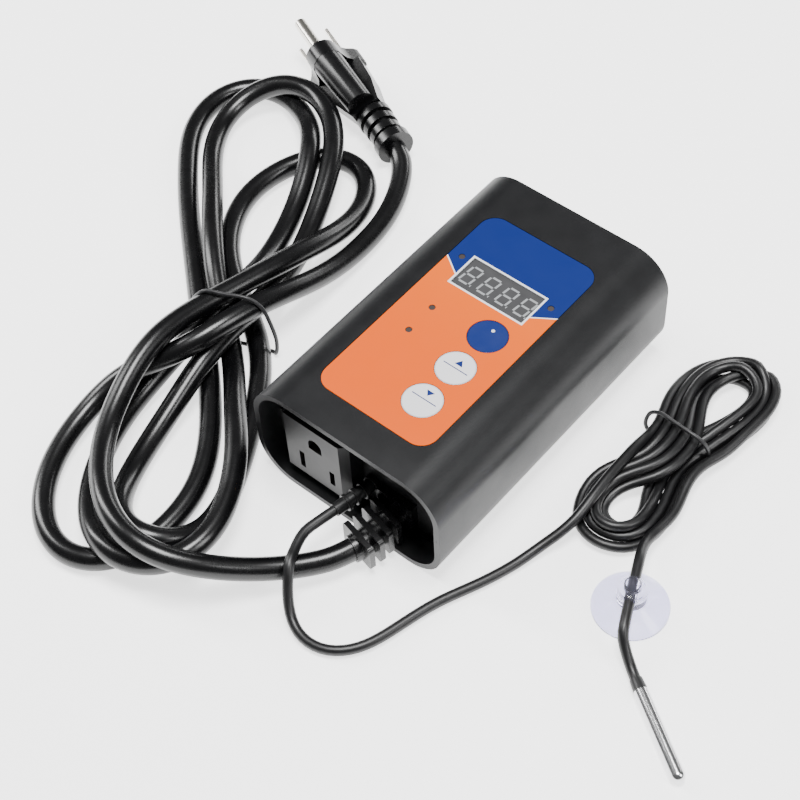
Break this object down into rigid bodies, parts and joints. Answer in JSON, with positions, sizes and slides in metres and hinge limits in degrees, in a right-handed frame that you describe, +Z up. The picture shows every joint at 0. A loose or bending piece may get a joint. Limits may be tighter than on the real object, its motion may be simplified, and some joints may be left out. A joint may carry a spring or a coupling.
{
  "type": "heat mat temperature controller",
  "caption": "Plug-in temperature controller for a heat mat: box with display, push buttons and grounded socket, mains lead with plug, sensor lead with suction cup and steel probe.",
  "frame": {"origin": "centre of the housing's underside, on the surface it stands on", "axes": "+Z up through the display, +Y along the housing towards the display end, away from the socket, +X towards the buttons' side"},
  "size_m": [0.3079, 0.2404, 0.0436],
  "materials": {
    "case": "fine spark-eroded texture, black",
    "panel": "satin, black",
    "label": "satin printed film",
    "window": "tinted, clear",
    "display": "grey, unlit",
    "set_key": "satin printed film, blue",
    "white_key": "satin printed film, white",
    "lens": "diffuse, unlit",
    "contact": "plain",
    "plating": "smooth nickel plate",
    "board": "solder mask",
    "dark_part": "moulded",
    "relay_case": "moulded, blue",
    "can": "sleeved can",
    "film_box": "moulded, yellow",
    "winding": "taped winding",
    "fuse_glass": "clear tube",
    "terminal": "moulded, green",
    "connector": "moulded, cream",
    "ribbon": "flat cable, grey",
    "hot": "PVC, black",
    "neutral": "PVC, white",
    "ground": "PVC, green",
    "screw": "zinc plate",
    "mains_pvc": "glossy flexible PVC, black",
    "sensor_pvc": "satin flexible PVC, black",
    "tie": "coated wire, black",
    "cup_pvc": "clear soft PVC, faint violet",
    "probe_steel": "polished stainless",
    "bead": "epoxy"
  },
  "bodies": {
    "controller": {"top_cover": "case", "bottom_cover": "case", "end_panel": "panel", "socket_block": "panel", "hot_contact": "contact", "neutral_contact": "contact", "ground_contact": "contact", "label_overlay": "label", "display_window": "window", "display_module": "display", "switch_bodies": "dark_part", "indicator_leds": "lens", "control_board": "board", "control_board_screws": "screw", "power_board": "board", "power_board_screws": "screw", "relay": "relay_case", "filter_capacitor": "can", "film_capacitor": "film_box", "supply_transformer": "winding", "fuse": "fuse_glass", "terminal_block": "terminal", "board_connectors": "connector", "ribbon_cable": "ribbon", "hot_wire": "hot", "neutral_wire": "neutral", "ground_wire": "ground", "sensor_wires": "ribbon", "case_screws": "screw", "mains_strain_relief": "mains_pvc", "sensor_strain_relief": "sensor_pvc", "mains_lead": "mains_pvc", "mains_tie": "tie", "plug_body": "mains_pvc", "plug_blades": "plating", "plug_ground_pin": "plating", "sensor_lead": "sensor_pvc", "sensor_hank": "sensor_pvc", "hank_tie": "tie", "probe_lead": "sensor_pvc", "probe_sleeve": "probe_steel", "probe_potting": "sensor_pvc", "thermistor_bead": "bead"},
    "set_key": {"set_button": "set_key"},
    "up_key": {"up_button": "white_key"},
    "down_key": {"down_button": "white_key"},
    "cup": {"suction_cup": "cup_pvc"}
  },
  "joints": [
    {"name": "set_press", "type": "slide", "parent": "controller", "child": "set_key", "axis": [0, 0, -1], "range_m": [0, 0.0005], "stiffness_N_per_m": 600},
    {"name": "up_press", "type": "slide", "parent": "controller", "child": "up_key", "axis": [0, 0, -1], "range_m": [0, 0.0005], "stiffness_N_per_m": 600},
    {"name": "down_press", "type": "slide", "parent": "controller", "child": "down_key", "axis": [0, 0, -1], "range_m": [0, 0.0005], "stiffness_N_per_m": 600},
    {"name": "cup_slide", "type": "slide", "parent": "controller", "child": "cup", "axis": [0.4131, -0.9107, 0], "range_m": [-0.002, 0.006]}
  ]
}
